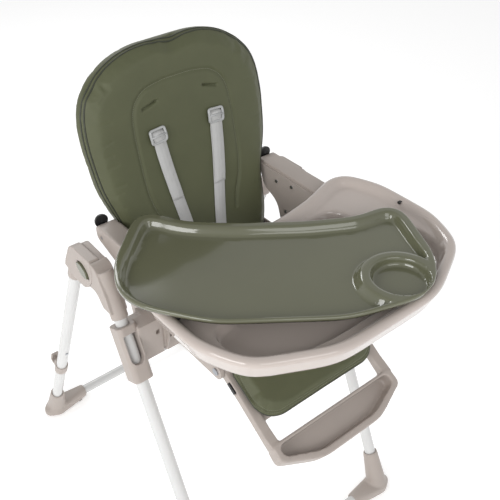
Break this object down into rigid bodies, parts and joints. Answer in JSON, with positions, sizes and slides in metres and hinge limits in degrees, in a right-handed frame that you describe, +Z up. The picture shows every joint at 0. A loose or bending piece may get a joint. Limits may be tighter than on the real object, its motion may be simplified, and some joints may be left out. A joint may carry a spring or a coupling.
{
  "type": "baby high chair",
  "caption": "Folding baby high chair with padded reclining seat, harness, tilting legrest, height adjustment and sliding tray with a lift-off insert.",
  "frame": {"origin": "on the floor, midway between the feet", "axes": "+Z up, the seated child faces -Y, +X is towards the child's left side"},
  "size_m": [0.5569, 0.8649, 1.0195],
  "materials": {
    "white_tube": "gloss white powder coat on steel tube",
    "beige_plastic": "fine satin, moulded",
    "beige_tray": "polished, moulded",
    "green_plastic": "polished, moulded",
    "olive_cover": "smooth coated leatherette",
    "strap": "woven webbing",
    "strap_hardware": "satin, moulded",
    "black_plastic": "satin, moulded",
    "steel": "zinc plated",
    "foot_rubber": "matt"
  },
  "bodies": {
    "front_frame": {"left_front_leg": "white_tube", "right_front_leg": "white_tube", "front_crossbar": "white_tube", "left_front_foot": "beige_plastic", "right_front_foot": "beige_plastic", "front_foot_pads": "foot_rubber", "left_hub_sleeve": "beige_plastic", "right_hub_sleeve": "beige_plastic", "hinge_pins": "steel"},
    "rear_frame": {"left_rear_leg": "white_tube", "right_rear_leg": "white_tube", "rear_crossbar": "white_tube", "left_rear_foot": "beige_plastic", "right_rear_foot": "beige_plastic", "rear_foot_pads": "foot_rubber", "left_hub_elbow": "beige_plastic", "right_hub_elbow": "beige_plastic", "tray_hooks": "beige_plastic", "rear_leg_screws": "steel"},
    "left_fold_button": {"left_fold_button": "green_plastic"},
    "right_fold_button": {"right_fold_button": "green_plastic"},
    "seat_carriage": {"left_slider": "beige_plastic", "right_slider": "beige_plastic", "seat_shell": "beige_plastic", "left_side_panel": "beige_plastic", "right_side_panel": "beige_plastic", "left_armrest": "beige_plastic", "right_armrest": "beige_plastic", "armrest_caps": "black_plastic", "seat_pad": "olive_cover", "crotch_strap": "strap", "waist_straps": "strap", "harness_buckle": "strap_hardware", "recline_pins": "steel", "legrest_pins": "steel", "side_screws": "steel"},
    "left_height_lever": {"left_height_lever": "black_plastic"},
    "right_height_lever": {"right_height_lever": "black_plastic"},
    "backrest": {"backrest_shell": "beige_plastic", "backrest_pad": "olive_cover", "left_shoulder_strap": "strap", "right_shoulder_strap": "strap", "strap_adjusters": "strap_hardware", "recline_housing": "beige_plastic"},
    "recline_handle": {"recline_handle": "black_plastic"},
    "legrest": {"legrest_frame": "beige_plastic", "calf_pad": "olive_cover"},
    "left_legrest_button": {"left_legrest_button": "black_plastic"},
    "right_legrest_button": {"right_legrest_button": "black_plastic"},
    "base_tray": {"base_tray": "beige_tray", "tray_catches": "black_plastic"},
    "left_tray_lever": {"left_tray_lever": "beige_tray"},
    "right_tray_lever": {"right_tray_lever": "beige_tray"},
    "insert_tray": {"insert_tray": "green_plastic"}
  },
  "joints": [
    {"name": "rear_leg_fold", "type": "hinge", "parent": "front_frame", "child": "rear_frame", "pos_m": [0, 0.03, 0.69], "axis": [-1, 0, 0], "range_deg": [0, 42]},
    {"name": "left_fold_button_press", "type": "slide", "parent": "rear_frame", "child": "left_fold_button", "axis": [1, 0, 0], "range_m": [0, 0.004], "stiffness_N_per_m": 500},
    {"name": "right_fold_button_press", "type": "slide", "parent": "rear_frame", "child": "right_fold_button", "axis": [-1, 0, 0], "range_m": [0, 0.004], "stiffness_N_per_m": 500},
    {"name": "seat_height", "type": "slide", "parent": "front_frame", "child": "seat_carriage", "axis": [0, -0.4067, -0.9135], "range_m": [0, 0.21]},
    {"name": "left_height_lever_press", "type": "slide", "parent": "seat_carriage", "child": "left_height_lever", "axis": [0, -0.9135, 0.4067], "range_m": [0, 0.003], "stiffness_N_per_m": 500},
    {"name": "right_height_lever_press", "type": "slide", "parent": "seat_carriage", "child": "right_height_lever", "axis": [0, -0.9135, 0.4067], "range_m": [0, 0.003], "stiffness_N_per_m": 500},
    {"name": "backrest_recline", "type": "hinge", "parent": "seat_carriage", "child": "backrest", "pos_m": [0, -0.01452, 0.5882], "axis": [-1, 0, 0], "range_deg": [0, 45]},
    {"name": "recline_handle_pull", "type": "slide", "parent": "backrest", "child": "recline_handle", "axis": [0, 0.2334, 0.9724], "range_m": [0, 0.012], "stiffness_N_per_m": 400},
    {"name": "legrest_tilt", "type": "hinge", "parent": "seat_carriage", "child": "legrest", "pos_m": [0, -0.255, 0.565], "axis": [1, 0, 0], "range_deg": [-22, 53]},
    {"name": "left_legrest_button_press", "type": "slide", "parent": "legrest", "child": "left_legrest_button", "axis": [1, 0, 0], "range_m": [0, 0.003], "stiffness_N_per_m": 400},
    {"name": "right_legrest_button_press", "type": "slide", "parent": "legrest", "child": "right_legrest_button", "axis": [-1, 0, 0], "range_m": [0, 0.003], "stiffness_N_per_m": 400},
    {"name": "tray_slide", "type": "slide", "parent": "seat_carriage", "child": "base_tray", "axis": [0, -1, 0], "range_m": [0, 0.06]},
    {"name": "left_tray_lever_pull", "type": "slide", "parent": "base_tray", "child": "left_tray_lever", "axis": [-1, 0, 0], "range_m": [0, 0.005], "stiffness_N_per_m": 400},
    {"name": "right_tray_lever_pull", "type": "slide", "parent": "base_tray", "child": "right_tray_lever", "axis": [1, 0, 0], "range_m": [0, 0.005], "stiffness_N_per_m": 400},
    {"name": "insert_lift", "type": "slide", "parent": "base_tray", "child": "insert_tray", "axis": [0, 0, 1], "range_m": [0, 0.15]}
  ]
}
